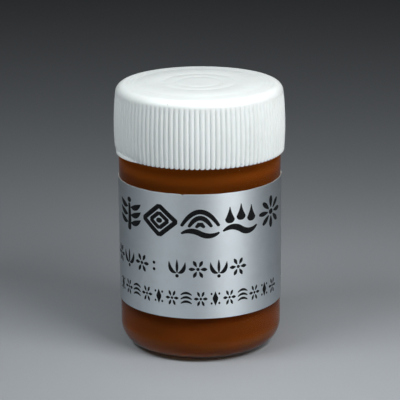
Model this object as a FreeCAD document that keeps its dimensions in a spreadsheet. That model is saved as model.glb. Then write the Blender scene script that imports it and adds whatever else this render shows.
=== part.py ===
import FreeCAD, Part
import math
import os
import Sketcher

# Screw-capped wide-mouth jar of oil. Millimetres, +Z up, origin at the middle of the foot.
# A clear jar holds the oil, a soft plug with a grip tab closes the mouth, and a ribbed cap
# with a foam liner screws over it. A foil label is wrapped round the straight wall.

DIMENSIONS = {
    # jar
    "body_radius": 18.0,
    "wall": 1.5,
    "heel_radius": 5.0,
    "heel_inner_radius": 3.9,
    "base_thickness": 1.8,
    "ring_inner_radius": 11.0,
    "pushup_height": 0.8,
    "shoulder_height": 44.25,
    "shoulder_radius": 1.0,
    "neck_radius": 15.7,
    "mouth_radius": 14.1,
    "rim_height": 56.2,
    "rim_round": 0.5,
    # threads
    "pitch": 3.2,
    "thread_depth": 1.0,
    "thread_root_width": 1.7,
    "thread_crest_width": 0.7,
    "thread_bite": 0.2,
    "jar_thread_start": 48.6,
    "jar_thread_turns": 1.5,
    "cap_thread_drop": 1.35,
    "cap_thread_turns": 1.25,
    # oil
    "oil_gap": 0.05,
    "oil_level": 46.0,
    # plug
    "flange_radius": 15.3,
    "flange_thickness": 0.8,
    "plug_radius": 13.85,
    "plug_wall": 1.0,
    "plug_depth": 5.4,
    "plug_lead": 0.5,
    "bead_radius": 14.03,
    "bead_height": 53.4,
    "bead_half_width": 0.6,
    "tab_width": 10.0,
    "tab_thickness": 1.2,
    "tab_top": 56.4,
    "tab_round": 2.2,
    # liner
    "liner_radius": 15.4,
    "liner_thickness": 1.0,
    # cap
    "cap_bottom": 44.55,
    "cap_bottom_radius": 18.75,
    "cap_barrel_radius": 70.0,
    "cap_skirt_top": 57.75,
    "cap_skirt_radius": 18.5,
    "cap_dome_radius": 16.72,
    "cap_dome_height": 59.44,
    "cap_edge_round": 1.9,
    "cap_crown_round": 147.0,
    "cap_disc_radius": 9.0,
    "cap_top": 59.64,
    "cap_bore_radius": 17.0,
    "cap_bore_top": 56.4,
    "cap_roof_radius": 15.6,
    "rib_count": 104,
    "flute_depth": 0.32,
    "flute_share": 0.4,
    "flute_top": 57.1,
    "flute_clear": 1.0,
    # label
    "label_bottom": 10.75,
    "label_top": 39.1,
    "label_gap": 0.03,
    "label_thickness": 0.12,
    "label_seam": 0.2,
}

INNER_WALL = "body_radius - wall"
INNER_SHOULDER = "shoulder_height - wall"
SHOULDER_BEND = "( body_radius - wall - mouth_radius )"
NOWHERE = 1e-9

doc = FreeCAD.newDocument("OilJar")
sheet = doc.addObject("Spreadsheet::Sheet", "dims")


def fill_sheet():
    """Write every driving dimension as a plain number with its alias."""
    for row, (alias, value) in enumerate(DIMENSIONS.items(), start=1):
        sheet.set(f"A{row}", alias)
        sheet.set(f"B{row}", str(value))
        sheet.setAlias(f"B{row}", alias)
    doc.recompute()


def linked(formula):
    """Return a formula with each sheet alias written as a reference to the sheet."""
    words = []
    for word in formula.split():
        words.append(f"dims.{word}" if word in DIMENSIONS else word)
    return " ".join(words)


def number(formula):
    """Work out a formula of sheet aliases."""
    return float(sheet.evalExpression(linked(formula)))


def new_body(label):
    body = doc.addObject("PartDesign::Body", label)
    body.Label = label
    return body


def origin_feature(body, role):
    return next(item for item in body.Origin.OriginFeatures if item.Role == role)


def new_sketch(body, name, plane):
    sketch = body.newObject("Sketcher::SketchObject", name)
    sketch.AttachmentSupport = [(origin_feature(body, plane), "")]
    sketch.MapMode = "FlatFace"
    return sketch


def arc_between(start, end, radius):
    """Minor arc from start to end: a positive radius turns left, a negative one right."""
    run = end - start
    reach = math.sqrt(radius * radius - run.Length * run.Length / 4)
    left = FreeCAD.Vector(-run.y, run.x, 0).normalize()
    side = math.copysign(1.0, radius)
    centre = (start + end) * 0.5 + left * reach * side
    angles = [math.atan2(point.y - centre.y, point.x - centre.x) for point in (start, end)]
    if side < 0:
        angles.reverse()
    circle = Part.Circle(centre, FreeCAD.Vector(0, 0, 1), abs(radius))
    return Part.ArcOfCircle(circle, *angles)


def place_corner(sketch, geometry, point, formulas):
    """Hold one corner at its two formulas, measured from the sketch's origin."""
    for kind, axis, formula in zip(("DistanceX", "DistanceY"), (-2, -1), formulas):
        value = number(formula)
        if abs(value) < NOWHERE:
            sketch.addConstraint(Sketcher.Constraint("PointOnObject", geometry, point, axis))
            continue
        index = sketch.addConstraint(Sketcher.Constraint(kind, -1, 1, geometry, point, value))
        sketch.setExpression(f"Constraints[{index}]", linked(formula))


def draw_outline(sketch, corners):
    """Draw a closed outline. Each corner is two formulas and, where an arc follows, its radius."""
    count = len(corners)
    points = [FreeCAD.Vector(number(c[0]), number(c[1]), 0) for c in corners]
    ends = []
    for index, corner in enumerate(corners):
        start, end = points[index], points[(index + 1) % count]
        if len(corner) == 2:
            geometry = sketch.addGeometry(Part.LineSegment(start, end))
            ends.append((geometry, 1, 2))
            continue
        radius = number(corner[2])
        geometry = sketch.addGeometry(arc_between(start, end, radius))
        ends.append((geometry, 1, 2) if radius > 0 else (geometry, 2, 1))
    for index, (geometry, _, last) in enumerate(ends):
        following, first, _ = ends[(index + 1) % count]
        sketch.addConstraint(Sketcher.Constraint("Coincident", geometry, last, following, first))
    for index, corner in enumerate(corners):
        geometry, first, _ = ends[index]
        place_corner(sketch, geometry, first, corner[:2])
        if len(corner) == 3:
            radius = abs(number(corner[2]))
            held = sketch.addConstraint(Sketcher.Constraint("Radius", geometry, radius))
            sketch.setExpression(f"Constraints[{held}]", f"abs({linked(corner[2])})")


def revolve(body, name, corners, kind="PartDesign::Revolution"):
    """Turn an outline in the XZ plane about the Z axis."""
    sketch = new_sketch(body, f"{name}_outline", "XZ_Plane")
    draw_outline(sketch, corners)
    feature = body.newObject(kind, name)
    feature.Profile = sketch
    feature.ReferenceAxis = (sketch, ["V_Axis"])
    sketch.Visibility = False
    doc.recompute()
    return feature


def add_thread(body, name, root, crest, start, turns):
    """Sweep one trapezoid ridge up a right-handed helix about the Z axis."""
    half_root = "thread_root_width / 2"
    half_crest = "thread_crest_width / 2"
    sketch = new_sketch(body, f"{name}_section", "XZ_Plane")
    draw_outline(sketch, [
        (root, f"{start} - {half_root}"),
        (crest, f"{start} - {half_crest}"),
        (crest, f"{start} + {half_crest}"),
        (root, f"{start} + {half_root}"),
    ])
    helix = body.newObject("PartDesign::AdditiveHelix", name)
    helix.Profile = sketch
    helix.ReferenceAxis = (sketch, ["V_Axis"])
    helix.Mode = "pitch-turns-angle"
    helix.setExpression("Pitch", linked("pitch"))
    helix.setExpression("Turns", linked(turns))
    sketch.Visibility = False
    doc.recompute()
    return helix


def make_jar():
    body = new_body("jar_body")
    revolve(body, "jar_shell", [
        ("0", "pushup_height", "0 - ( ring_inner_radius ^ 2 / pushup_height + pushup_height ) / 2"),
        ("ring_inner_radius", "0"),
        ("body_radius - heel_radius", "0", "heel_radius"),
        ("body_radius", "heel_radius"),
        ("body_radius", "shoulder_height - shoulder_radius", "shoulder_radius"),
        ("body_radius - shoulder_radius", "shoulder_height"),
        ("neck_radius", "shoulder_height"),
        ("neck_radius", "rim_height - rim_round", "rim_round"),
        ("neck_radius - rim_round", "rim_height"),
        ("mouth_radius + rim_round", "rim_height", "rim_round"),
        ("mouth_radius", "rim_height - rim_round"),
        ("mouth_radius", INNER_SHOULDER, f"0 - {SHOULDER_BEND}"),
        (INNER_WALL, f"{INNER_SHOULDER} - {SHOULDER_BEND}"),
        (INNER_WALL, "base_thickness + heel_inner_radius", "0 - heel_inner_radius"),
        (f"{INNER_WALL} - heel_inner_radius", "base_thickness"),
        ("0", "base_thickness"),
    ])
    add_thread(
        body, "jar_thread", "neck_radius - thread_bite", "neck_radius + thread_depth",
        "jar_thread_start", "jar_thread_turns")


def make_oil():
    body = new_body("oil_fill")
    revolve(body, "oil_column", [
        ("0", "base_thickness + oil_gap"),
        (f"{INNER_WALL} - heel_inner_radius", "base_thickness + oil_gap",
         "heel_inner_radius - oil_gap"),
        (f"{INNER_WALL} - oil_gap", "base_thickness + heel_inner_radius"),
        (f"{INNER_WALL} - oil_gap", f"{INNER_SHOULDER} - {SHOULDER_BEND}",
         f"{SHOULDER_BEND} - oil_gap"),
        ("mouth_radius", f"{INNER_SHOULDER} - oil_gap"),
        ("mouth_radius - oil_gap", f"{INNER_SHOULDER} - oil_gap"),
        ("mouth_radius - oil_gap", "oil_level"),
        ("0", "oil_level"),
    ])


def make_plug():
    body = new_body("inner_plug")
    floor = "rim_height - plug_depth"
    revolve(body, "plug_cup", [
        ("0", floor),
        ("plug_radius - plug_lead", floor),
        ("plug_radius", f"{floor} + plug_lead"),
        ("plug_radius", "bead_height - bead_half_width"),
        ("bead_radius", "bead_height"),
        ("plug_radius", "bead_height + bead_half_width"),
        ("plug_radius", "rim_height"),
        ("flange_radius", "rim_height"),
        ("flange_radius", "rim_height + flange_thickness"),
        ("plug_radius - plug_wall", "rim_height + flange_thickness"),
        ("plug_radius - plug_wall", f"{floor} + plug_wall"),
        ("0", f"{floor} + plug_wall"),
    ])
    sketch = new_sketch(body, "tab_outline", "XZ_Plane")
    draw_outline(sketch, [
        ("0 - tab_width / 2", f"{floor} + plug_wall / 2"),
        ("tab_width / 2", f"{floor} + plug_wall / 2"),
        ("tab_width / 2", "tab_top - tab_round", "tab_round"),
        ("tab_width / 2 - tab_round", "tab_top"),
        ("tab_round - tab_width / 2", "tab_top", "tab_round"),
        ("0 - tab_width / 2", "tab_top - tab_round"),
    ])
    tab = body.newObject("PartDesign::Pad", "grip_tab")
    tab.Profile = sketch
    tab.Midplane = True
    tab.setExpression("Length", linked("tab_thickness"))
    sketch.Visibility = False
    doc.recompute()


def make_liner():
    body = new_body("cap_liner")
    sketch = new_sketch(body, "liner_outline", "XY_Plane")
    circle = Part.Circle(FreeCAD.Vector(), FreeCAD.Vector(0, 0, 1), number("liner_radius"))
    sketch.addGeometry(circle)
    sketch.addConstraint(Sketcher.Constraint("Coincident", 0, 3, -1, 1))
    held = sketch.addConstraint(Sketcher.Constraint("Radius", 0, number("liner_radius")))
    sketch.setExpression(f"Constraints[{held}]", linked("liner_radius"))
    sketch.setExpression("AttachmentOffset.Base.z", linked("rim_height + flange_thickness"))
    disc = body.newObject("PartDesign::Pad", "liner_disc")
    disc.Profile = sketch
    disc.setExpression("Length", linked("liner_thickness"))
    sketch.Visibility = False
    doc.recompute()


def make_cap():
    body = new_body("screw_cap")
    roof = "rim_height + flange_thickness + liner_thickness"
    revolve(body, "cap_shell", [
        ("cap_bore_radius", "cap_bottom"),
        ("cap_bottom_radius", "cap_bottom", "cap_barrel_radius"),
        ("cap_skirt_radius", "cap_skirt_top", "cap_edge_round"),
        ("cap_dome_radius", "cap_dome_height", "cap_crown_round"),
        ("cap_disc_radius", "cap_top"),
        ("0", "cap_top"),
        ("0", roof),
        ("cap_roof_radius", roof),
        ("cap_bore_radius", "cap_bore_top"),
    ])
    add_thread(
        body, "cap_thread", "cap_bore_radius + thread_bite", "cap_bore_radius - thread_depth",
        "jar_thread_start - cap_thread_drop", "cap_thread_turns")
    add_flutes(body)


def add_flutes(body):
    """Cut the fine grooves round the skirt, which leave the ribs standing between them."""
    before = body.Shape.Volume
    outside = "cap_bottom_radius + flute_clear"
    flute = revolve(body, "flute", [
        (outside, "cap_bottom - flute_clear"),
        (outside, "flute_top + flute_clear"),
        ("cap_skirt_radius - flute_depth", "flute_top", "0 - cap_barrel_radius"),
        ("cap_bottom_radius - flute_depth", "cap_bottom - flute_clear"),
    ], "PartDesign::Groove")
    flute.Midplane = True
    flute.setExpression("Angle", linked("360 * flute_share / rib_count"))
    doc.recompute()
    if body.Shape.Volume >= before:
        raise RuntimeError("the flute cuts nothing")
    ring = body.newObject("PartDesign::PolarPattern", "flutes")
    ring.Originals = [flute]
    ring.Axis = (origin_feature(body, "Z_Axis"), [""])
    ring.Angle = 360
    ring.setExpression("Occurrences", linked("rib_count"))
    body.Tip = ring
    doc.recompute()


def make_label():
    body = new_body("label_foil")
    inner = number("body_radius + label_gap")
    outer = number("body_radius + label_gap + label_thickness")
    half_seam = math.asin(number("label_seam") / 2 / inner)
    first, last = math.pi / 2 + half_seam, 5 * math.pi / 2 - half_seam
    sketch = new_sketch(body, "label_outline", "XY_Plane")
    up = FreeCAD.Vector(0, 0, 1)
    for radius in (inner, outer):
        arc = Part.ArcOfCircle(Part.Circle(FreeCAD.Vector(), up, radius), first, last)
        sketch.addGeometry(arc)
    for angle in (first, last):
        ray = FreeCAD.Vector(math.cos(angle), math.sin(angle), 0)
        sketch.addGeometry(Part.LineSegment(ray * inner, ray * outer))
    for arc in (0, 1):
        sketch.addConstraint(Sketcher.Constraint("Coincident", arc, 3, -1, 1))
        for point, line in ((1, 2), (2, 3)):
            sketch.addConstraint(Sketcher.Constraint("Coincident", arc, point, line, arc + 1))
    sizes = {0: "body_radius + label_gap", 1: "body_radius + label_gap + label_thickness"}
    for arc, formula in sizes.items():
        held = sketch.addConstraint(Sketcher.Constraint("Radius", arc, number(formula)))
        sketch.setExpression(f"Constraints[{held}]", linked(formula))
    sketch.setExpression("AttachmentOffset.Base.z", linked("label_bottom"))
    wrap = body.newObject("PartDesign::Pad", "label_wrap")
    wrap.Profile = sketch
    wrap.setExpression("Length", linked("label_top - label_bottom"))
    sketch.Visibility = False
    doc.recompute()


def check_document(bodies):
    """Stop with a message if any feature failed or any sub-part is not a good solid."""
    for item in doc.Objects:
        if {"Invalid", "Error"} & set(item.State):
            raise RuntimeError(f"{item.Name} failed: {item.State}")
    for body in bodies:
        shape = body.Shape
        if shape.isNull() or not shape.isValid() or len(shape.Solids) != 1:
            raise RuntimeError(f"{body.Label} is not one valid solid")


def export(bodies):
    os.makedirs("parts", exist_ok=True)
    for body in bodies:
        body.Shape.exportStep(f"parts/{body.Label}.step")
        box = body.Shape.BoundBox
        print(f"{body.Label}: {body.Shape.Volume:.1f} mm3, z {box.ZMin:.2f} to {box.ZMax:.2f}")


fill_sheet()
make_jar()
make_oil()
make_plug()
make_liner()
make_cap()
make_label()
doc.recompute()
sub_parts = [item for item in doc.Objects if item.TypeId == "PartDesign::Body"]
check_document(sub_parts)
export(sub_parts)
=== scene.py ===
"""Looks of a small screw-capped jar of amber oil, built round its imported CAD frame."""

import logging
import math
from collections.abc import Callable, Iterable, Mapping
from dataclasses import dataclass, field
from enum import Enum
from typing import Any

import bmesh
import bpy
from mathutils import Matrix, Vector


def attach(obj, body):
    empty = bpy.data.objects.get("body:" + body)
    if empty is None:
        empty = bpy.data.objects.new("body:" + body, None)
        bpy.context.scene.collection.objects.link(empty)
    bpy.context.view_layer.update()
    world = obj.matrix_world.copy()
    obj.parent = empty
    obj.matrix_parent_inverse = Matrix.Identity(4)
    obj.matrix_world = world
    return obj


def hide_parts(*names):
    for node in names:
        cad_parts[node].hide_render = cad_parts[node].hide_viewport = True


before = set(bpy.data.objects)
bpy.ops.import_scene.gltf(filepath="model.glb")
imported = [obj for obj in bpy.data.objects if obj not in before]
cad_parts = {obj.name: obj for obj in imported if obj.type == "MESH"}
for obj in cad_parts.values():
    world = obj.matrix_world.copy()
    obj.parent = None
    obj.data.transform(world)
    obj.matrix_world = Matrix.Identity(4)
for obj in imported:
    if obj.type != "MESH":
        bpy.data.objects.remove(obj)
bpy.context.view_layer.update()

LOG = logging.getLogger("oil_jar")
MM = 0.001
TURN = 2 * math.pi
ON_AXIS = 1e-6
SHARP_ANGLE = math.radians(38)
BLACK = (0.0, 0.0, 0.0)

Colour = tuple[float, float, float]
Polar = tuple[float, float]
Span = tuple[float, float]
Shaper = Callable[[float, float, float], Polar]


def smooth_step(low: float, high: float, value: float) -> float:
    """Ease from 0 at low to 1 at high.

    Args:
        low: Value at which the result leaves 0.
        high: Value at which the result reaches 1.
        value: Value to ease.

    Returns:
        The eased share, from 0 to 1.
    """
    share = min(max((value - low) / (high - low), 0.0), 1.0)
    return share * share * (3 - 2 * share)


# ---------------------------------------------------------------- shader maths


class Signal:
    """One shader socket, with operators that add Math nodes."""

    def __init__(self, graph: "Graph", socket: bpy.types.NodeSocket) -> None:
        """Wrap a socket of a graph."""
        self.graph = graph
        self.socket = socket

    def __add__(self, other: "Feed") -> "Signal":
        """Add a value."""
        return self.graph.maths("ADD", self, other)

    __radd__ = __add__

    def __sub__(self, other: "Feed") -> "Signal":
        """Take a value away."""
        return self.graph.maths("SUBTRACT", self, other)

    def __rsub__(self, other: "Feed") -> "Signal":
        """Take this signal away from a value."""
        return self.graph.maths("SUBTRACT", other, self)

    def __mul__(self, other: "Feed") -> "Signal":
        """Multiply by a value."""
        return self.graph.maths("MULTIPLY", self, other)

    __rmul__ = __mul__

    def above(self, low: float, high: float) -> "Signal":
        """Ease from 0 at low to 1 at high.

        Args:
            low: Value at which the result leaves 0.
            high: Value at which the result reaches 1.

        Returns:
            The eased share.
        """
        settings = {"interpolation_type": "SMOOTHSTEP"}
        sockets = {"Value": self, "From Min": low, "From Max": high}
        return self.graph.add("ShaderNodeMapRange", settings, sockets)["Result"]


Feed = Signal | float | tuple[float, ...]


class Outlets:
    """The output sockets of one node, by name."""

    def __init__(self, graph: "Graph", node: bpy.types.Node) -> None:
        """Keep a node of a graph."""
        self.graph = graph
        self.node = node

    def __getitem__(self, name: str | int) -> Signal:
        """Give one output as a signal."""
        return Signal(self.graph, self.node.outputs[name])


class Graph:
    """The node tree of one material."""

    def __init__(self, name: str) -> None:
        """Start an empty material.

        Args:
            name: The material's name.
        """
        self.material = bpy.data.materials.new(name)
        self.material.use_nodes = True
        self.tree = self.material.node_tree
        self.tree.nodes.clear()

    def add(
        self,
        kind: str,
        settings: Mapping[str, Any] | None = None,
        sockets: Mapping[str | int, Feed] | None = None,
    ) -> Outlets:
        """Add one node.

        Args:
            kind: The node's type name.
            settings: Properties to set before its sockets, with a ramp's stops under "stops".
            sockets: Values or signals for its inputs, by name or number.

        Returns:
            The new node's outputs.
        """
        node = self.tree.nodes.new(kind)
        for name, value in (settings or {}).items():
            if name == "stops":
                self._set_stops(node, value)
            else:
                setattr(node, name, value)
        for name, value in (sockets or {}).items():
            self._feed(node.inputs[name], value)
        return Outlets(self, node)

    def _set_stops(self, ramp: bpy.types.Node, stops: Iterable[tuple[float, Colour]]) -> None:
        """Give a ramp its stops.

        Args:
            ramp: The ramp's node.
            stops: Each stop's place and colour, in order.
        """
        elements = ramp.color_ramp.elements
        for index, (place, colour) in enumerate(stops):
            stop = elements[index] if index < len(elements) else elements.new(place)
            stop.position = place
            stop.color = (*colour, 1.0)

    def _feed(self, socket: bpy.types.NodeSocket, value: Feed) -> None:
        """Link a signal to a socket, or set the socket's own value.

        Args:
            socket: The input.
            value: The signal or value that it gets.
        """
        if isinstance(value, Signal):
            self.tree.links.new(value.socket, socket)
        elif isinstance(value, tuple) and socket.type == "RGBA" and len(value) == 3:
            socket.default_value = (*value, 1.0)
        else:
            socket.default_value = value

    def maths(self, operation: str, first: Feed, second: Feed) -> Signal:
        """Add a Math node on two values."""
        node = self.add("ShaderNodeMath", {"operation": operation}, {0: first, 1: second})
        return node[0]

    def place(self, stretch: tuple[float, float, float] = (1.0, 1.0, 1.0)) -> Signal:
        """Give the point on the surface in metres, stretched along each axis."""
        point = self.add("ShaderNodeTexCoord")["Object"]
        return self.add("ShaderNodeMapping", None, {"Vector": point, "Scale": stretch})[0]

    def noise(self, grain: float, detail: float = 2.0, place: Signal | None = None) -> Signal:
        """Give cloudy noise.

        Args:
            grain: Size of the clouds in millimetres.
            detail: Number of finer layers.
            place: Point to read it at, the surface's own by default.

        Returns:
            The noise, mostly from 0.3 to 0.7.
        """
        sockets = {
            "Vector": place or self.place(),
            "Scale": 1 / (grain * MM),
            "Detail": detail,
            "Roughness": 0.55,
        }
        return self.add("ShaderNodeTexNoise", None, sockets)["Fac"]

    def specks(self, spacing: float, size: float) -> Signal:
        """Give a mask of sparse round specks.

        Args:
            spacing: Rough distance between specks, in millimetres.
            size: Rough width of a speck, in millimetres.

        Returns:
            The mask, 1 on a speck.
        """
        sockets = {"Vector": self.place(), "Scale": 1 / (spacing * MM), "Randomness": 1.0}
        distance = self.add("ShaderNodeTexVoronoi", None, sockets)["Distance"]
        reach = size / spacing / 2
        return 1 - distance.above(reach * 0.6, reach)

    def blend(self, share: Feed, low: Feed, high: Feed, mode: str = "MIX") -> Signal:
        """Mix two colours by a share."""
        settings = {"data_type": "RGBA", "blend_type": mode}
        return self.add("ShaderNodeMix", settings, {0: share, 6: low, 7: high})[2]

    def bump(self, height: Signal, depth: float, under: Signal | None = None) -> Signal:
        """Turn a height signal into a normal.

        Args:
            height: The height signal.
            depth: Depth of the relief in millimetres.
            under: Another normal that this one lies over.

        Returns:
            The normal.
        """
        sockets: dict[str | int, Feed] = {"Height": height, "Distance": depth * MM}
        if under is not None:
            sockets["Normal"] = under
        return self.add("ShaderNodeBump", None, sockets)["Normal"]

    def finish(
        self, sockets: Mapping[str | int, Feed], lamp_tint: Colour | None = None
    ) -> bpy.types.Material:
        """End the graph in one Principled shader.

        Args:
            sockets: Values or signals for the shader's inputs.
            lamp_tint: Tint of the lamps' light that passes straight through, None for a shadow.

        Returns:
            The finished material.
        """
        shader = self.add("ShaderNodeBsdfPrincipled", None, sockets)[0]
        if lamp_tint is not None:
            lamp_ray = self.add("ShaderNodeLightPath")["Is Shadow Ray"]
            clear = self.add("ShaderNodeBsdfTransparent", None, {"Color": lamp_tint})[0]
            shader = self.add("ShaderNodeMixShader", None, {0: lamp_ray, 1: shader, 2: clear})[0]
        self.add("ShaderNodeOutputMaterial", None, {"Surface": shader})
        return self.material


# ---------------------------------------------------------------- finishes


class GlassZone(Enum):
    """The parts of the jar's glass that meet light differently."""

    WALL = "wall"
    WET = "wet"
    FOOT = "foot"
    HEEL = "heel"

    @property
    def index(self) -> int:
        """Give the zone's place in the jar's list of materials."""
        return list(GlassZone).index(self)


@dataclass(frozen=True)
class CapPlastic:
    """White moulded plastic with a satin skin, faint flow marks and a few specks of dust."""

    tint: Colour = (0.85, 0.895, 0.90)
    shade: Colour = (0.82, 0.862, 0.86)
    speck: Colour = (0.33, 0.34, 0.33)
    roughness: float = 0.42

    def material(self) -> bpy.types.Material:
        """Build the material.

        Returns:
            The finished material.
        """
        graph = Graph("cap_plastic")
        flow = graph.noise(5.0, 3.0, graph.place((1.0, 1.0, 0.45)))
        body = graph.blend(flow.above(0.35, 0.7), self.tint, self.shade)
        colour = graph.blend(graph.specks(3.2, 0.3) * 0.6, body, self.speck)
        rough = self.roughness + (graph.noise(1.4) - 0.5) * 0.22
        pebble = graph.bump(graph.noise(0.16, 3.0), 0.006)
        wave = graph.bump(graph.noise(2.6), 0.015, pebble)
        return graph.finish({
            "Base Color": colour,
            "Roughness": rough,
            "Normal": wave,
            "IOR": 1.49,
            "Subsurface Weight": 0.12,
            "Subsurface Radius": (1.0, 0.9, 0.8),
            "Subsurface Scale": 0.0006,
        })


@dataclass(frozen=True)
class PlugPlastic:
    """Soft milky plastic of the mouth plug."""

    tint: Colour = (0.78, 0.80, 0.78)
    shade: Colour = (0.70, 0.71, 0.68)
    roughness: float = 0.36

    def material(self) -> bpy.types.Material:
        """Build the material.

        Returns:
            The finished material.
        """
        graph = Graph("plug_plastic")
        colour = graph.blend(graph.noise(3.0).above(0.35, 0.7), self.tint, self.shade)
        rough = self.roughness + (graph.noise(0.9) - 0.5) * 0.2
        return graph.finish({
            "Base Color": colour,
            "Roughness": rough,
            "Normal": graph.bump(graph.noise(0.3, 3.0), 0.012),
            "Subsurface Weight": 0.3,
            "Subsurface Radius": (1.0, 0.95, 0.9),
            "Subsurface Scale": 0.001,
        })


@dataclass(frozen=True)
class LinerFoam:
    """Fine closed-cell foam of the cap's liner."""

    tint: Colour = (0.82, 0.81, 0.77)
    cell_shade: Colour = (0.62, 0.61, 0.57)
    cell: float = 0.22

    def material(self) -> bpy.types.Material:
        """Build the material.

        Returns:
            The finished material.
        """
        graph = Graph("liner_foam")
        sockets = {"Vector": graph.place(), "Scale": 1 / (self.cell * MM)}
        cells = graph.add("ShaderNodeTexVoronoi", None, sockets)["Distance"]
        colour = graph.blend(cells.above(0.0, 0.55), self.cell_shade, self.tint)
        return graph.finish({
            "Base Color": colour,
            "Roughness": 0.72 + (graph.noise(1.2) - 0.5) * 0.2,
            "Normal": graph.bump(cells, 0.04),
        })


@dataclass(frozen=True)
class JarGlass:
    """Clear glass with faint waves and smears.

    Where oil wets it, light passes straight on. The thin wall bends light less than the heel and
    the foot do. Lamps shine through all but the thick foot, whose near-black brown tint is painted
    shade for the dark contact under the jar.
    """

    zone: GlassZone
    tint: Colour = (0.96, 0.98, 0.975)
    clear: Colour = (0.99, 0.995, 0.99)
    lamp_tint: Colour = (0.95, 0.955, 0.95)
    # Painted shade: near-black brown that darkens the foot's glass for the contact shadow under the
    # jar.
    foot_painted_shade: Colour = (0.060, 0.025, 0.010)
    sheen: Colour = (0.25, 0.25, 0.25)
    wall_bend: float = 1.15
    heel_bend: float = 1.4

    def material(self) -> bpy.types.Material:
        """Build the material.

        Returns:
            The finished material.
        """
        graph = Graph(f"jar_glass_{self.zone.value}")
        body = graph.blend(graph.noise(4.0), self.tint, self.clear)
        if self.zone is GlassZone.WET:
            return graph.finish({
                "Base Color": body,
                "Roughness": 0.0,
                "IOR": 1.0,
                "Transmission Weight": 1.0,
            }, self.lamp_tint)
        smear = graph.noise(6.0, 4.0).above(0.5, 0.75)
        if self.zone is GlassZone.FOOT:
            # Painted shade: darken the foot's clear glass to a near-black brown.
            body = graph.blend(1.0, body, self.foot_painted_shade, "MULTIPLY")
        return graph.finish({
            "Base Color": body,
            "Roughness": smear * 0.03,
            "Normal": graph.bump(graph.noise(7.0, 1.0), 0.04),
            "IOR": self.wall_bend if self.zone is GlassZone.WALL else self.heel_bend,
            "Specular Tint": self.sheen,
            "Transmission Weight": 1.0,
        }, None if self.zone is GlassZone.FOOT else self.lamp_tint)


@dataclass(frozen=True)
class AmberOil:
    """Cloudy amber oil with painted light and shade: more orange where it thins out at the heel,
    darker towards the top, and an emitted glow in the neck.
    """

    tint: Colour = (0.172, 0.038, 0.0050)
    cloudy: Colour = (0.145, 0.032, 0.0042)
    # Painted shade: a darker amber towards the top, where the upper oil gets less light.
    top_shade: Colour = (0.102, 0.023, 0.0026)
    top_shade_heights: Span = (12.0, 38.0)
    thin: Colour = (0.33, 0.085, 0.008)
    # Painted light: a lighter orange near the heel, where light passes through the thin oil.
    heel_light_heights: Span = (2.0, 6.0)
    # Painted light: an emitted amber glow over these heights in the neck, where the cap shades the
    # oil.
    painted_neck_glow: Colour = (0.050, 0.012, 0.0010)
    painted_glow_heights: Span = (39.5, 42.0)
    glow_depth: float = 0.009

    def material(self) -> bpy.types.Material:
        """Build the material.

        Returns:
            The finished material.
        """
        graph = Graph("amber_oil")
        cloud = graph.noise(9.0, 2.0)
        height = graph.add("ShaderNodeSeparateXYZ", None, {0: graph.place()})["Z"] * (1 / MM)
        body = graph.blend(cloud.above(0.35, 0.65), self.tint, self.cloudy)
        # Painted shade: blend to the darker amber towards the top.
        body = graph.blend(height.above(*self.top_shade_heights), body, self.top_shade)
        return graph.finish({
            # Painted light: lighter orange at the heel, blending into the body colour above.
            "Base Color": graph.blend(height.above(*self.heel_light_heights), self.thin, body),
            "Roughness": 0.12 + cloud * 0.1,
            "Normal": graph.bump(cloud, 0.02),
            "IOR": 1.02,
            "Subsurface Weight": 1.0,
            "Subsurface Radius": (1.0, 0.45, 0.2),
            "Subsurface Scale": self.glow_depth,
            # Painted light: the oil emits a faint amber glow over the neck heights.
            "Emission Color": graph.blend(height.above(*self.painted_glow_heights), BLACK, self.painted_neck_glow),
            "Emission Strength": 1.0,
        })


@dataclass(frozen=True)
class BrushedFoil:
    """Silver foil of the label, finely brushed round the jar, with soft handling marks."""

    tint: Colour = (0.80, 0.862, 0.902)
    worn: Colour = (0.75, 0.806, 0.842)
    roughness: float = 0.50

    def material(self) -> bpy.types.Material:
        """Build the material.

        Returns:
            The finished material.
        """
        graph = Graph("label_foil")
        grain = graph.noise(0.12, 2.0, graph.place((0.10, 0.10, 1.0)))
        cloud = graph.noise(6.0, 4.0)
        colour = graph.blend(cloud.above(0.4, 0.7), self.tint, self.worn)
        rough = self.roughness + (cloud - 0.5) * 0.16 + (grain - 0.5) * 0.10
        ripple = graph.bump(graph.noise(7.0, 2.0), 0.05)
        return graph.finish({
            "Base Color": colour,
            "Metallic": 1.0,
            "Anisotropic": 0.6,
            "Anisotropic Rotation": 0.25,
            "Roughness": rough,
            "Normal": graph.bump(grain, 0.004, ripple),
        })


@dataclass(frozen=True)
class LabelBacking:
    """Pale paper back and cut edge of the foil label."""

    tint: Colour = (0.78, 0.77, 0.74)
    shade: Colour = (0.62, 0.60, 0.55)

    def material(self) -> bpy.types.Material:
        """Build the material.

        Returns:
            The finished material.
        """
        graph = Graph("label_backing")
        fibre = graph.noise(0.5, 4.0)
        return graph.finish({
            "Base Color": graph.blend(fibre.above(0.35, 0.7), self.tint, self.shade),
            "Roughness": 0.75 + (fibre - 0.5) * 0.2,
            "Normal": graph.bump(fibre, 0.02),
        })


@dataclass(frozen=True)
class PrintInk:
    """Black ink printed on the foil, slightly thin in places."""

    full: Colour = (0.004, 0.004, 0.005)
    thin: Colour = (0.016, 0.017, 0.018)
    roughness: float = 0.5

    def material(self) -> bpy.types.Material:
        """Build the material.

        Returns:
            The finished material.
        """
        graph = Graph("print_ink")
        blot = graph.noise(0.5, 3.0)
        return graph.finish({
            "Base Color": graph.blend(blot.above(0.5, 0.75), self.full, self.thin),
            "Roughness": self.roughness + (blot - 0.5) * 0.2,
            "Normal": graph.bump(graph.noise(0.2, 2.0), 0.006),
            "Specular IOR Level": 0.2,
        })


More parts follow.
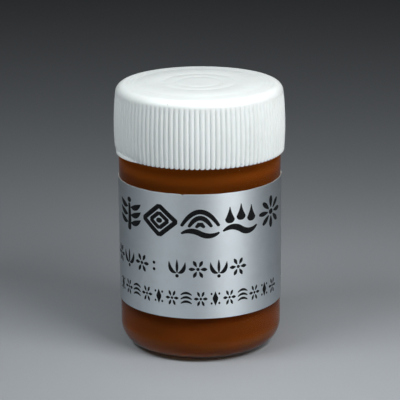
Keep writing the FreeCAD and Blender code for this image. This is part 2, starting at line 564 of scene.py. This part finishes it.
@dataclass(frozen=True)
class FloorCard:
    """Plain pale grey studio card with a barely visible tooth."""

    tint: Colour = (0.388, 0.408, 0.436)
    shade: Colour = (0.358, 0.378, 0.406)

    def material(self) -> bpy.types.Material:
        """Build the material.

        Returns:
            The finished material.
        """
        graph = Graph("floor_card")
        tooth = graph.noise(0.5, 4.0)
        cloud = graph.noise(40.0, 2.0)
        return graph.finish({
            "Base Color": graph.blend(cloud * 0.6 + tooth * 0.4, self.tint, self.shade),
            "Roughness": 0.62 + (tooth - 0.5) * 0.1,
            "Normal": graph.bump(tooth, 0.02),
            "Specular IOR Level": 0.3,
        })


# ---------------------------------------------------------------- turned shapes


@dataclass
class Outline:
    """A profile of radius and height in millimetres, with a zone number for each run."""

    points: list[Polar] = field(default_factory=list)
    zones: list[int] = field(default_factory=list)

    def start(self, radius: float, height: float) -> "Outline":
        """Set the first point."""
        self.points.append((radius, height))
        return self

    def line(self, radius: float, height: float, steps: int = 1, zone: int = 0) -> "Outline":
        """Add a straight run to a point.

        Args:
            radius: Radius of the end point.
            height: Height of the end point.
            steps: Number of pieces that it is cut into.
            zone: Zone of the run.

        Returns:
            This outline.
        """
        first = self.points[-1]
        for step in range(1, steps + 1):
            share = step / steps
            point = (
                first[0] + (radius - first[0]) * share,
                first[1] + (height - first[1]) * share,
            )
            self.points.append(point)
            self.zones.append(zone)
        return self

    def arc(
        self, radius: float, height: float, bend: float, steps: int = 8, zone: int = 0
    ) -> "Outline":
        """Add the minor arc to a point.

        Args:
            radius: Radius of the end point.
            height: Height of the end point.
            bend: Radius of the arc, positive where it turns left.
            steps: Number of straight pieces.
            zone: Zone of the run.

        Returns:
            This outline.
        """
        first, last = Vector(self.points[-1]), Vector((radius, height))
        run = last - first
        reach = math.sqrt(max(bend * bend - run.length_squared / 4, 0.0))
        left = Vector((-run.y, run.x)).normalized()
        centre = (first + last) / 2 + left * reach * math.copysign(1.0, bend)
        half = math.asin(min(run.length / 2 / abs(bend), 1.0))
        spoke = first - centre
        for step in range(1, steps + 1):
            turned = Matrix.Rotation(math.copysign(2 * half * step / steps, bend), 2) @ spoke
            self.points.append(tuple(centre + turned))
            self.zones.append(zone)
        return self

    def close(self) -> "Outline":
        """Drop the last point, which has come back to the first one."""
        self.points.pop()
        return self


def new_object(
    name: str, mesh_maker: bmesh.types.BMesh, materials: Iterable[bpy.types.Material]
) -> bpy.types.Object:
    """Turn a bmesh into a shaded object.

    Args:
        name: Name of the piece.
        mesh_maker: The shape, which is freed.
        materials: One material for each zone.

    Returns:
        The new object, linked to the scene.
    """
    bmesh.ops.recalc_face_normals(mesh_maker, faces=mesh_maker.faces)
    for face in mesh_maker.faces:
        face.smooth = True
    for edge in mesh_maker.edges:
        if len(edge.link_faces) == 2 and edge.calc_face_angle(0.0) > SHARP_ANGLE:
            edge.smooth = False
    mesh = bpy.data.meshes.new(name)
    mesh_maker.to_mesh(mesh)
    mesh_maker.free()
    for material in materials:
        mesh.materials.append(material)
    piece = bpy.data.objects.new(name, mesh)
    bpy.context.scene.collection.objects.link(piece)
    return piece


def keep_shape(angle: float, radius: float, height: float) -> Polar:
    """Leave a turned point where it is."""
    return radius, height


def spin(
    maker: bmesh.types.BMesh, outline: Outline, columns: int, shaper: Shaper = keep_shape
) -> None:
    """Turn an outline about the Z axis into a closed skin.

    Args:
        maker: The bmesh that receives the faces.
        outline: The profile. Ends on the axis close it, and any other outline closes on itself.
        columns: Number of columns round the axis.
        shaper: Moves each point, given its angle, radius and height.
    """
    rings: list[list[bmesh.types.BMVert]] = []
    for radius, height in outline.points:
        if radius < ON_AXIS:
            rings.append([maker.verts.new((0.0, 0.0, height * MM))])
            continue
        ring = []
        for column in range(columns):
            angle = TURN * column / columns
            out, up = shaper(angle, radius, height)
            place = (out * math.cos(angle) * MM, out * math.sin(angle) * MM, up * MM)
            ring.append(maker.verts.new(place))
        rings.append(ring)
    pairs = list(zip(rings, rings[1:], outline.zones))
    if len(rings[0]) > 1 and len(rings[-1]) > 1:
        pairs.append((rings[-1], rings[0], outline.zones[-1]))
    for low, high, zone in pairs:
        for column in range(columns):
            after = (column + 1) % columns
            corners = [low[column % len(low)], low[after % len(low)]]
            corners += [high[after % len(high)], high[column % len(high)]]
            distinct = list(dict.fromkeys(corners))
            if len(distinct) > 2:
                maker.faces.new(distinct).material_index = zone


def skin(maker: bmesh.types.BMesh, rings: list[list[bmesh.types.BMVert]]) -> None:
    """Join rings of equal length into a bar with closed ends.

    Args:
        maker: The bmesh that holds the rings and receives the faces.
        rings: The rings in order along the bar.
    """
    for before, after in zip(rings, rings[1:]):
        for edge in range(len(before)):
            following = (edge + 1) % len(before)
            maker.faces.new((before[edge], before[following], after[following], after[edge]))
    maker.faces.new(rings[0])
    maker.faces.new(rings[-1])


@dataclass(frozen=True)
class Thread:
    """A right-handed screw thread as a change of radius, in millimetres."""

    start: float
    turns: float
    pitch: float = 3.2
    depth: float = 1.0
    root: float = 1.7
    crest: float = 0.7
    run_out: float = 0.09

    def rise(self, angle: float, height: float) -> float:
        """Give the thread's height over its root.

        Args:
            angle: Angle about the axis, in radians.
            height: Height of the point.

        Returns:
            The rise in millimetres, 0 away from the thread.
        """
        turned = (height - self.start) / self.pitch
        lap = round(turned - angle / TURN)
        along = angle / TURN + lap
        if not -self.run_out < along < self.turns + self.run_out:
            return 0.0
        off = abs(height - self.start - along * self.pitch)
        side = 1 - smooth_step(self.crest / 2, self.root / 2, off)
        entry = smooth_step(-self.run_out, self.run_out, along)
        leave = 1 - smooth_step(self.turns - self.run_out, self.turns + self.run_out, along)
        return self.depth * side * entry * leave


# ---------------------------------------------------------------- jar and oil


@dataclass
class Jar:
    """The glass jar and the oil in it.

    The reach and bend of the meniscus are in heights of the meniscus.
    """

    radius: float = 18.0
    wall: float = 1.5
    heel: float = 5.0
    heel_inner: float = 3.9
    foot_turn: float = 46.0
    base: float = 1.8
    ring_inner: float = 11.0
    push_up: float = 0.8
    shoulder: float = 44.25
    shoulder_round: float = 1.0
    neck: float = 15.7
    mouth: float = 14.1
    rim: float = 56.2
    rim_round: float = 0.5
    oil_level: float = 46.0
    oil_film: float = 0.02
    meniscus: float = 0.8
    meniscus_reach: float = 3.0
    meniscus_bend: float = 6.0
    columns: int = 224
    thread: Thread = field(default_factory=lambda: Thread(start=48.6, turns=1.5))

    def _inner(self, outline: Outline, film: float, wet: int = 0) -> Outline:
        """Carry an outline down the inner wall from the shoulder to the middle of the floor.

        Args:
            outline: The outline, which ends in the neck.
            film: Gap between the outline and the glass.
            wet: Zone of the run.

        Returns:
            The same outline.
        """
        bore = self.radius - self.wall - film
        floor = self.base + film
        under = self.shoulder - self.wall
        bend = bore + film - self.mouth
        outline.line(self.mouth - film, under - film, 6, wet)
        outline.arc(bore, under - bend, -bend, 8, wet)
        outline.line(bore, self.base + self.heel_inner, 12, wet)
        centre = bore - self.heel_inner + film
        outline.arc(centre, floor, film - self.heel_inner, 10, wet)
        outline.line(0.0, floor, 6, wet)
        return outline

    def _shape_neck(self, angle: float, radius: float, height: float) -> Polar:
        """Raise the thread out of the neck's outer wall.

        Args:
            angle: Angle about the axis, in radians.
            radius: Radius of the point.
            height: Height of the point.

        Returns:
            The point's new radius and height.
        """
        if abs(radius - self.neck) > ON_AXIS:
            return radius, height
        return radius + self.thread.rise(angle, height), height

    def build_glass(self) -> bpy.types.Object:
        """Build the glass, with its push-up, rounded heel, threaded neck and inner wall.

        Returns:
            The glass.
        """
        foot, heel, wet = (z.index for z in (GlassZone.FOOT, GlassZone.HEEL, GlassZone.WET))
        bend = (self.ring_inner**2 / self.push_up + self.push_up) / 2
        turn = math.radians(self.foot_turn)
        centre = self.radius - self.heel
        edge = (centre + self.heel * math.sin(turn), self.heel * (1 - math.cos(turn)))
        outline = Outline().start(0.0, self.push_up)
        outline.arc(self.ring_inner, 0.0, -bend, 10, foot)
        outline.line(centre, 0.0, 1, foot)
        outline.arc(*edge, self.heel, 6, foot)
        outline.arc(self.radius, self.heel, self.heel, 10, heel)
        outline.line(self.radius, self.shoulder - self.shoulder_round, 12)
        outline.arc(self.radius - self.shoulder_round, self.shoulder, self.shoulder_round, 6)
        outline.line(self.neck, self.shoulder, 2)
        outline.line(self.neck, self.rim - self.rim_round, 72)
        outline.arc(self.neck - self.rim_round, self.rim, self.rim_round, 4)
        outline.line(self.mouth + self.rim_round, self.rim)
        outline.arc(self.mouth, self.rim - self.rim_round, self.rim_round, 4)
        outline.line(self.mouth, self.oil_level + self.meniscus, 6)
        self._inner(outline, 0.0, wet)
        maker = bmesh.new()
        spin(maker, outline, self.columns, self._shape_neck)
        piece = new_object("glass_jar", maker, [JarGlass(zone).material() for zone in GlassZone])
        return self._seat(piece, "jar_body")

    def build_oil(self) -> bpy.types.Object:
        """Build the oil, with the curved edge where it climbs the neck.

        Returns:
            The oil.
        """
        side = self.mouth - self.oil_film
        outline = Outline().start(0.0, self.oil_level)
        outline.line(side - self.meniscus * self.meniscus_reach, self.oil_level, 8)
        climb = self.meniscus * self.meniscus_bend
        outline.arc(side, self.oil_level + self.meniscus, climb, 8)
        self._inner(outline, self.oil_film)
        maker = bmesh.new()
        spin(maker, outline, self.columns)
        piece = new_object("oil", maker, [AmberOil().material()])
        return self._seat(piece, "oil_fill")

    def _seat(self, piece: bpy.types.Object, node: str) -> bpy.types.Object:
        """Seat a piece on the jar in place of its CAD node.

        Args:
            piece: The piece.
            node: The CAD node that it replaces.

        Returns:
            The piece.
        """
        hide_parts(node)
        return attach(piece, "jar")


# ---------------------------------------------------------------- label


STROKE_STEP = 0.35
STROKE_SHARES = (-1.0, -0.5, 0.0, 0.5, 1.0)
END_TURNS = tuple(math.radians(angle) for angle in (65, 40, 18))
FOIL_ZONE, BACK_ZONE = 0, 1


@dataclass(frozen=True)
class Stroke:
    """A curved, tapering stroke of ink between two ends, pulled towards a middle point."""

    first: Polar
    middle: Polar
    last: Polar
    widths: tuple[float, float, float]

    def stations(self, scale: float) -> list[tuple[Vector, Vector, float]]:
        """Cut the stroke into stations with round ends.

        Args:
            scale: Millimetres to one unit of the stroke.

        Returns:
            Each station's centre, its direction and its half width, in millimetres.
        """
        ends = [Vector(p) * scale for p in (self.first, self.middle, self.last)]
        count = max(2, round((ends[2] - ends[0]).length / STROKE_STEP))
        found = []
        for step in range(count + 1):
            share = step / count
            rest = 1 - share
            centre = ends[0] * rest**2 + ends[1] * 2 * rest * share + ends[2] * share**2
            along = (ends[1] - ends[0]) * rest + (ends[2] - ends[1]) * share
            sides = self.widths[0] * rest**2 + self.widths[1] * 2 * rest * share
            width = (sides + self.widths[2] * share**2) * scale / 2
            found.append((centre, along.normalized(), width))
        for index, sense in ((0, -1.0), (-1, 1.0)):
            centre, along, width = found[index]
            for turn in END_TURNS:
                point = centre + along * sense * width * math.cos(turn)
                station = (point, along, width * math.sin(turn))
                if sense < 0:
                    found.insert(0, station)
                else:
                    found.append(station)
        return found


Ornament = tuple[Stroke, ...]


def bar(first: Polar, last: Polar, width: float) -> Stroke:
    """Give a straight stroke of even width."""
    middle = ((first[0] + last[0]) / 2, (first[1] + last[1]) / 2)
    return Stroke(first, middle, last, (width, width, width))


def dot(centre: Polar, width: float) -> Stroke:
    """Give a round dot."""
    tiny = width * 0.05
    return bar((centre[0] - tiny, centre[1]), (centre[0] + tiny, centre[1]), width)


def sprig() -> Ornament:
    """Give an upright twig with three pairs of leaves.

    Returns:
        Its strokes.
    """
    leaves = [
        Stroke(
            (side * 0.2, level), (side * 0.6, level - 0.04), (side * 1.0, level + 0.36),
            (0.1, 0.66, 0.05))
        for side in (-1, 1)
        for level in (-0.66, -0.14, 0.38)
    ]
    stem = Stroke((0, -1.0), (0.08, -0.2), (0, 0.56), (0.34, 0.28, 0.2))
    return (stem, dot((0, 0.86), 0.34), *leaves)


def diamond() -> Ornament:
    """Give two nested diamonds round a dot.

    Returns:
        Its strokes.
    """
    sides = []
    for reach, width, inset in ((0.98, 0.28, 0.06), (0.52, 0.24, 0.12)):
        for quarter in range(4):
            turn = math.pi / 2 * quarter
            start, end = (
                (reach * math.cos(turn + part), reach * math.sin(turn + part))
                for part in (0, math.pi / 2)
            )
            first = tuple(a + (b - a) * inset for a, b in zip(start, end))
            last = tuple(b + (a - b) * inset for a, b in zip(start, end))
            sides.append(bar(first, last, width))
    return (dot((0, 0), 0.34), *sides)


def ripples() -> Ornament:
    """Give three arcs rising over a wave.

    Returns:
        Its strokes.
    """
    arcs = [
        Stroke((-reach, base), (0, base + reach * 1.85), (reach, base), (0.18, 0.44, 0.18))
        for reach, base in ((0.98, -0.18), (0.58, -0.22), (0.18, -0.26))
    ]
    left = Stroke((-0.98, -0.7), (-0.5, -0.38), (0, -0.72), (0.14, 0.42, 0.34))
    right = Stroke((0, -0.72), (0.5, -1.04), (0.98, -0.7), (0.34, 0.42, 0.14))
    return (left, right, *arcs)


def drops() -> Ornament:
    """Give three falling drops over a wave.

    Returns:
        Its strokes.
    """
    fall = [
        Stroke((x, y + 0.8), (x, y + 0.4), (x, y), (0.04, 0.16, 0.56))
        for x, y in ((-0.66, 0.14), (0, 0.26), (0.66, 0.08))
    ]
    left = Stroke((-1.0, -0.58), (-0.5, -0.18), (0, -0.6), (0.14, 0.48, 0.38))
    right = Stroke((0, -0.6), (0.5, -1.02), (1.0, -0.56), (0.38, 0.48, 0.14))
    return (left, right, *fall)


def rosette() -> Ornament:
    """Give a ring of eight petals round a dot."""
    return flower(8, 0.46)


def flower(petals: int, width: float) -> Ornament:
    """Give a ring of petals round a dot.

    Args:
        petals: Number of petals.
        width: Width of a petal at its middle.

    Returns:
        Its strokes.
    """
    found = []
    for petal in range(petals):
        turn = TURN * petal / petals
        spoke = (math.cos(turn), math.sin(turn))
        ends = [(spoke[0] * reach, spoke[1] * reach) for reach in (0.34, 0.75, 0.95)]
        found.append(Stroke(*ends, (0.1, width, 0.22)))
    return (dot((0, 0), 0.36), *found)


def blossom() -> Ornament:
    """Give a small ring of six petals."""
    return flower(6, 0.62)


def lozenge() -> Ornament:
    """Give a small solid lozenge between four dots.

    Returns:
        Its strokes.
    """
    halves = [Stroke((0, 0), (0, side * 0.4), (0, side * 0.9), (0.9, 0.6, 0.04)) for side in (-1, 1)]
    around = [dot((x, y), 0.3) for x in (-0.62, 0.62) for y in (-0.62, 0.62)]
    return (*halves, *around)


def sprout() -> Ornament:
    """Give three small leaves over a dot.

    Returns:
        Its strokes.
    """
    bud = Stroke((0, -0.4), (0, 0.2), (0, 0.98), (0.12, 0.56, 0.06))
    leaves = [
        Stroke((side * 0.16, -0.46), (side * 0.9, -0.36), (side * 0.96, 0.72), (0.14, 0.8, 0.06))
        for side in (-1, 1)
    ]
    return (dot((0, -0.8), 0.38), bud, *leaves)


def dot_pair() -> Ornament:
    """Give two small dots, one over the other."""
    return (dot((0, -0.36), 0.34), dot((0, 0.36), 0.34))


def wavelets() -> Ornament:
    """Give three small waves, one over another.

    Returns:
        Their strokes.
    """
    return tuple(
        Stroke((-0.84, level), (0, level + swing), (0.84, level), (0.14, 0.5, 0.14))
        for level, swing in ((0.5, 0.5), (-0.06, 0.5), (-0.62, 0.5))
    )


@dataclass(frozen=True)
class PrintRow:
    """One row of ornaments: their angles round the jar, their middle height and their size."""

    angles: tuple[float, ...]
    height: float
    width: float
    tall: float
    shapes: tuple[Callable[[], Ornament], ...]


def even_angles(first: float, pitch: float, count: int) -> tuple[float, ...]:
    """Give angles in degrees at an even pitch."""
    return tuple(first + pitch * index for index in range(count))


@dataclass
class Label:
    """The foil label with its row ornaments, wrapped round the straight wall."""

    inner: float = 18.03
    thickness: float = 0.12
    low: float = 10.9
    high: float = 39.0
    lean: float = 0.12
    low_lean: float = 0.05
    nick: float = 0.03
    nick_waves: tuple[int, int] = (23, 7)
    seam_half: float = 0.05
    tear: Polar = (-0.21, 0.012)
    tear_depth: float = 0.17
    columns: int = 720
    rows: int = 14
    ink: float = 0.02
    ink_gap: float = 0.004

    def _outer(self) -> float:
        """Give the label's outer radius."""
        return self.inner + self.thickness

    def _edges(self, angle: float) -> Polar:
        """Give the label's edges, which lean a little and are nicked and torn at the top.

        Args:
            angle: Angle from the front, in radians.

        Returns:
            The heights of the lower and the upper edge.
        """
        sway = math.sin(angle)
        coarse, fine = (math.sin(angle * waves) for waves in self.nick_waves)
        nick = self.nick * coarse * fine
        tear = self.tear_depth * math.exp(-(((angle - self.tear[0]) / self.tear[1]) ** 2))
        return self.low + self.low_lean * sway, self.high + self.lean * sway + nick - tear

    @staticmethod
    def place(radius: float, angle: float, height: float) -> Vector:
        """Give a point from its radius, its angle from the front and its height."""
        return Vector((radius * math.sin(angle), -radius * math.cos(angle), height)) * MM

    def build_foil(self) -> bpy.types.Object:
        """Build the foil sheet with its paper back and cut edges.

        Returns:
            The sheet.
        """
        maker = bmesh.new()
        reach = math.pi - self.seam_half / self.inner
        skins = []
        for radius in (self.inner, self._outer()):
            sheet = []
            for column in range(self.columns + 1):
                angle = reach * (2 * column / self.columns - 1)
                low, high = self._edges(angle)
                steps = [low + (high - low) * row / self.rows for row in range(self.rows + 1)]
                sheet.append([maker.verts.new(self.place(radius, angle, up)) for up in steps])
            skins.append(sheet)
        for column in range(self.columns):
            for row in range(self.rows):
                for zone, sheet in ((BACK_ZONE, skins[0]), (FOIL_ZONE, skins[1])):
                    pair = sheet[column : column + 2]
                    ring = (pair[0][row], pair[1][row], pair[1][row + 1], pair[0][row + 1])
                    maker.faces.new(ring).material_index = zone
            for row in (0, -1):
                under, over = (sheet[column : column + 2] for sheet in skins)
                ring = (under[0][row], under[1][row], over[1][row], over[0][row])
                maker.faces.new(ring).material_index = BACK_ZONE
        for column in (0, -1):
            for row in range(self.rows):
                under, over = (sheet[column] for sheet in skins)
                ring = (under[row], under[row + 1], over[row + 1], over[row])
                maker.faces.new(ring).material_index = BACK_ZONE
        finishes = [BrushedFoil().material(), LabelBacking().material()]
        piece = new_object("foil_label", maker, finishes)
        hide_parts("label_foil")
        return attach(piece, "jar")

    def _lay_stroke(
        self, maker: bmesh.types.BMesh, stroke: Stroke, middle: Polar, size: Polar
    ) -> None:
        """Lay one stroke of ink on the foil.

        Args:
            maker: The bmesh that receives it.
            stroke: The stroke.
            middle: Arc length from the front and height of the ornament's middle.
            size: Half width and half height of the ornament.
        """
        low = self._outer() + self.ink_gap
        squeeze = size[0] / size[1]
        ring = [(share, low) for share in STROKE_SHARES]
        ring += [(share, low + self.ink) for share in reversed(STROKE_SHARES)]
        beams = []
        for centre, along, half in stroke.stations(size[1]):
            side = Vector((-along.y, along.x)) * half
            beam = []
            for share, radius in ring:
                point = centre + side * share
                angle = (middle[0] + point.x * squeeze) / self._outer()
                beam.append(maker.verts.new(self.place(radius, angle, middle[1] + point.y)))
            beams.append(beam)
        skin(maker, beams)

    def build_print(self, name: str, row: PrintRow) -> bpy.types.Object:
        """Build one row of ornaments in ink.

        Args:
            name: Name of the piece.
            row: The row's ornaments and places.

        Returns:
            The row as one object.
        """
        maker = bmesh.new()
        for index, angle in enumerate(row.angles):
            middle = (math.radians(angle) * self._outer(), row.height)
            size = (row.width / 2, row.tall / 2)
            for stroke in row.shapes[index % len(row.shapes)]():
                self._lay_stroke(maker, stroke, middle, size)
        piece = new_object(name, maker, [PrintInk().material()])
        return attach(piece, "jar")

    def build(self) -> list[bpy.types.Object]:
        """Build the foil and its three rows of ornaments.

        Returns:
            The foil and the rows.
        """
        rows = {
            "title_print": PrintRow(
                even_angles(-58.4, 29.2, 5), 32.7, 8.1, 6.8,
                (sprig, diamond, ripples, drops, rosette)),
            "middle_print": PrintRow(
                (-73.8, -59.3, -44.8, -33.8, -16.3, -1.7, 12.7, 26.9), 22.2, 3.8, 4.1,
                (blossom, sprout, blossom, dot_pair, sprout, blossom, sprout, blossom)),
            "lower_print": PrintRow(
                even_angles(-70.6, 10.1, 14), 15.45, 2.75, 3.5,
                (lozenge, blossom, wavelets, blossom)),
        }
        pieces = [self.build_foil()]
        pieces += [self.build_print(name, row) for name, row in rows.items()]
        return pieces


# ---------------------------------------------------------------- cap


@dataclass
class Cap:
    """The ribbed screw cap, with its inner thread and the flash left by its mould.

    The points of the flash are an inset from its reach and a rise over the cap's lower edge.
    """

    low: float = 44.55
    low_radius: float = 18.75
    barrel: float = 70.0
    skirt_top: float = 57.75
    skirt_radius: float = 18.5
    dome_radius: float = 16.72
    dome_height: float = 59.44
    edge_round: float = 1.9
    crown_round: float = 147.0
    disc_radius: float = 9.0
    top: float = 59.64
    bore: float = 17.0
    bore_top: float = 56.4
    roof_radius: float = 15.6
    roof: float = 58.0
    grooves: tuple[float, ...] = (16.2, 15.2, 14.2, 8.0, 5.0)
    groove_width: float = 0.5
    groove_depth: float = 0.05
    ribs: int = 104
    rib_columns: int = 6
    rib_depth: float = 0.38
    rib_fade: Span = (56.3, 58.3)
    scallop: float = 0.25
    scallop_reach: float = 0.8
    lip_round: float = 0.18
    flash: Span = (176.0, 232.0)
    flash_reach: float = 18.9
    flash_dent: float = 0.3
    flash_dent_fade: Span = (0.4, 1.6)
    flash_swell: float = 0.6
    flash_least: float = 0.5
    flash_root: float = 0.6
    flash_steps: int = 48
    flash_lift: float = 0.02
    flash_foot: tuple[Polar, ...] = ((0.08, 0.0), (0.0, 0.1))
    flash_lip: tuple[Polar, ...] = ((0.04, 0.32), (0.16, 0.52), (0.42, 0.68))
    flash_top: float = 0.7
    thread: Thread = field(default_factory=lambda: Thread(start=47.25, turns=1.25))

    def _rib(self, angle: float) -> float:
        """Give how deep the surface lies between two ribs, from 0 on a crest to 1."""
        share = (angle / TURN * self.ribs) % 1.0
        return 1 - math.sqrt(math.sin(math.pi * share))

    def _shape(self, angle: float, radius: float, height: float) -> Polar:
        """Cut the ribs into the skirt, scallop its lower edge and raise the inner thread.

        Args:
            angle: Angle about the axis, in radians.
            radius: Radius of the point.
            height: Height of the point.

        Returns:
            The point's new radius and height.
        """
        if abs(radius - self.bore) < ON_AXIS:
            return radius - self.thread.rise(angle, height), height
        if radius > self.bore + self.lip_round and height < self.rib_fade[1]:
            groove = self._rib(angle)
            fade = 1 - smooth_step(*self.rib_fade, height)
            lift = 1 - smooth_step(self.low, self.low + self.scallop_reach, height)
            dent = self.flash_dent * self._swell(angle)
            fade_low, fade_high = self.flash_dent_fade
            dent *= 1 - smooth_step(self.low + fade_low, self.low + fade_high, height)
            out = radius - self.rib_depth * groove * fade - dent
            return out, height + self.scallop * groove * lift
        return radius, height

    def _swell(self, angle: float) -> float:
        """Give the share of its full size that the flash has at an angle.

        Args:
            angle: Angle about the axis, in radians.

        Returns:
            The share, 0 away from the flash.
        """
        first, last = (math.radians(edge) for edge in self.flash)
        if not first < angle < last:
            return 0.0
        return math.sin(math.pi * (angle - first) / (last - first)) ** self.flash_swell

    def _crown(self, radius: float) -> float:
        """Give the height of the top at a radius."""
        out = max(radius - self.disc_radius, 0.0)
        return self.top - out * out / (2 * self.crown_round)

    def _outline(self) -> Outline:
        """Give the cap's profile, from the bore up over the crown and back under the roof.

        Returns:
            The profile, closed on itself.
        """
        outline = Outline().start(self.bore, self.low + self.lip_round)
        outline.line(self.bore + self.lip_round, self.low)
        outline.line(self.low_radius - self.lip_round, self.low)
        outline.arc(self.low_radius, self.low + self.lip_round, self.lip_round, 3)
        outline.arc(self.skirt_radius, self.skirt_top, self.barrel, 24)
        outline.arc(self.dome_radius, self.dome_height, self.edge_round, 10)
        for radius in self.grooves:
            for side, sink in ((0.5, 0.0), (0.0, self.groove_depth), (-0.5, 0.0)):
                place = radius + self.groove_width * side
                outline.line(place, self._crown(place) - sink)
        outline.line(0.0, self.top, 3)
        outline.line(0.0, self.roof)
        outline.line(self.roof_radius, self.roof, 3)
        outline.line(self.bore, self.bore_top, 3)
        outline.line(self.bore, self.low + self.lip_round, 60)
        return outline.close()

    def _add_flash(self, maker: bmesh.types.BMesh) -> None:
        """Add the smooth crescent of flash on the left of the lower edge.

        Args:
            maker: The bmesh that receives it.
        """
        first, last = (math.radians(angle) for angle in self.flash)
        root = self.bore + self.flash_root
        beams = []
        for step in range(self.flash_steps + 1):
            angle = first + (last - first) * step / self.flash_steps
            swell = self._swell(angle)
            out = root + (self.flash_reach - root) * max(swell, self.flash_least)
            ring = [(root, self.flash_lift)]
            ring += [(out - inset, rise) for inset, rise in self.flash_foot]
            ring += [(out - inset, rise * swell) for inset, rise in self.flash_lip]
            ring.append((root, self.flash_top * swell))
            beam = []
            for radius, rise in ring:
                place = (radius * math.cos(angle), radius * math.sin(angle), self.low + rise)
                beam.append(maker.verts.new(Vector(place) * MM))
            beams.append(beam)
        skin(maker, beams)

    def build(self) -> bpy.types.Object:
        """Build the cap.

        Returns:
            The cap.
        """
        maker = bmesh.new()
        spin(maker, self._outline(), self.ribs * self.rib_columns, self._shape)
        self._add_flash(maker)
        piece = new_object("ribbed_cap", maker, [CapPlastic().material()])
        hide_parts("screw_cap")
        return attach(piece, "cap")


# ---------------------------------------------------------------- carried-over pieces


@dataclass
class Closure:
    """The plug and the liner, which keep their CAD shapes."""

    def dress(self) -> list[bpy.types.Object]:
        """Give the two CAD nodes their finishes.

        Returns:
            The two nodes.
        """
        finishes = {"inner_plug": PlugPlastic(), "cap_liner": LinerFoam()}
        pieces = []
        for node, finish in finishes.items():
            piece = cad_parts[node]
            material = finish.material()
            for place in piece.material_slots:
                place.material = material
            pieces.append(piece)
        return pieces


# ---------------------------------------------------------------- studio


@dataclass(frozen=True)
class Softbox:
    """A square studio light aimed at the jar."""

    name: str
    bearing: float
    climb: float
    distance: float
    size: float
    power: float
    tint: Colour = (1.0, 1.0, 1.0)
    spread: float = 180.0

    def build(self, aim: Vector) -> bpy.types.Object:
        """Build the light.

        Args:
            aim: The point it faces.

        Returns:
            The light, at its bearing right of the front and its climb over the floor.
        """
        lamp = bpy.data.lights.new(self.name, "AREA")
        lamp.shape = "SQUARE"
        lamp.size = self.size
        lamp.energy = self.power
        lamp.color = self.tint
        lamp.spread = math.radians(self.spread)
        light = bpy.data.objects.new(self.name, lamp)
        bearing, climb = math.radians(self.bearing), math.radians(self.climb)
        flat = self.distance * math.cos(climb)
        offset = Vector((flat * math.sin(bearing), -flat * math.cos(bearing),
                         self.distance * math.sin(climb)))
        light.location = aim + offset
        light.rotation_euler = offset.to_track_quat("Z", "Y").to_euler()
        light.visible_transmission = False
        bpy.context.scene.collection.objects.link(light)
        return light


@dataclass
class Studio:
    """The pale floor, the soft lights and the camera."""

    aim: float = 0.0326
    distance: float = 0.4469
    climb: float = 16.07
    roll: float = 0.39
    lens: float = 180.0
    clip_start: float = 0.01
    floor_size: float = 6.0
    lights_forward: float = 0.02
    lights: tuple[Softbox, ...] = (
        Softbox("key_light", 50.0, 41.0, 0.20, 0.12, 0.388, (1.0, 0.995, 0.98)),
        Softbox("fill_light", -62.0, 50.0, 0.30, 0.14, 0.425, (0.97, 1.0, 1.0)),
        Softbox("top_light", 0.0, 88.0, 0.12, 0.07, 0.010, (0.98, 1.0, 1.0), 100.0),
    )
    sky: Colour = (0.004, 0.005, 0.006)

    def build_floor(self) -> bpy.types.Object:
        """Build the floor.

        Returns:
            The floor.
        """
        maker = bmesh.new()
        bmesh.ops.create_grid(maker, x_segments=1, y_segments=1, size=self.floor_size / 2)
        floor = new_object("floor", maker, [FloorCard().material()])
        return floor

    def build_lights(self) -> list[bpy.types.Object]:
        """Build the lights and the dim room round them.

        Returns:
            The lights.
        """
        world = bpy.data.worlds.new("studio")
        world.use_nodes = True
        world.node_tree.nodes["Background"].inputs["Color"].default_value = (*self.sky, 1.0)
        bpy.context.scene.world = world
        aim = Vector((0.0, -self.lights_forward, self.aim))
        return [light.build(aim) for light in self.lights]

    def build_camera(self) -> bpy.types.Object:
        """Build the camera.

        Returns:
            The camera.
        """
        lens = bpy.data.cameras.new("camera")
        lens.lens = self.lens
        lens.clip_start = self.clip_start
        camera = bpy.data.objects.new("camera", lens)
        climb = math.radians(self.climb)
        offset = Vector((0.0, -math.cos(climb), math.sin(climb))) * self.distance
        camera.location = Vector((0.0, 0.0, self.aim)) + offset
        level = offset.to_track_quat("Z", "Y").to_matrix()
        tilt = Matrix.Rotation(math.radians(-self.roll), 3, "Z")
        camera.rotation_euler = (level @ tilt).to_euler()
        bpy.context.scene.collection.objects.link(camera)
        bpy.context.scene.camera = camera
        return camera

    def build(self) -> None:
        """Build the whole studio."""
        self.build_floor()
        self.build_lights()
        self.build_camera()
        bpy.context.scene.view_settings.view_transform = "Standard"


def corners(box: tuple[Vector, Vector]) -> list[list[float]]:
    """Give a box's two corners as plain lists."""
    return [[float(number) for number in corner] for corner in box]


def main() -> None:
    """Build the jar piece by piece."""
    Studio().build()
    jar = Jar()
    pieces = [jar.build_glass(), jar.build_oil()]
    pieces += Label().build()
    pieces.append(Cap().build())
    pieces += Closure().dress()
    for piece in pieces:
        LOG.info("%s: %d faces", piece.name, len(piece.data.polygons))


if __name__ == "__main__":
    logging.basicConfig(level=logging.INFO, format="%(name)s: %(message)s")
    main()
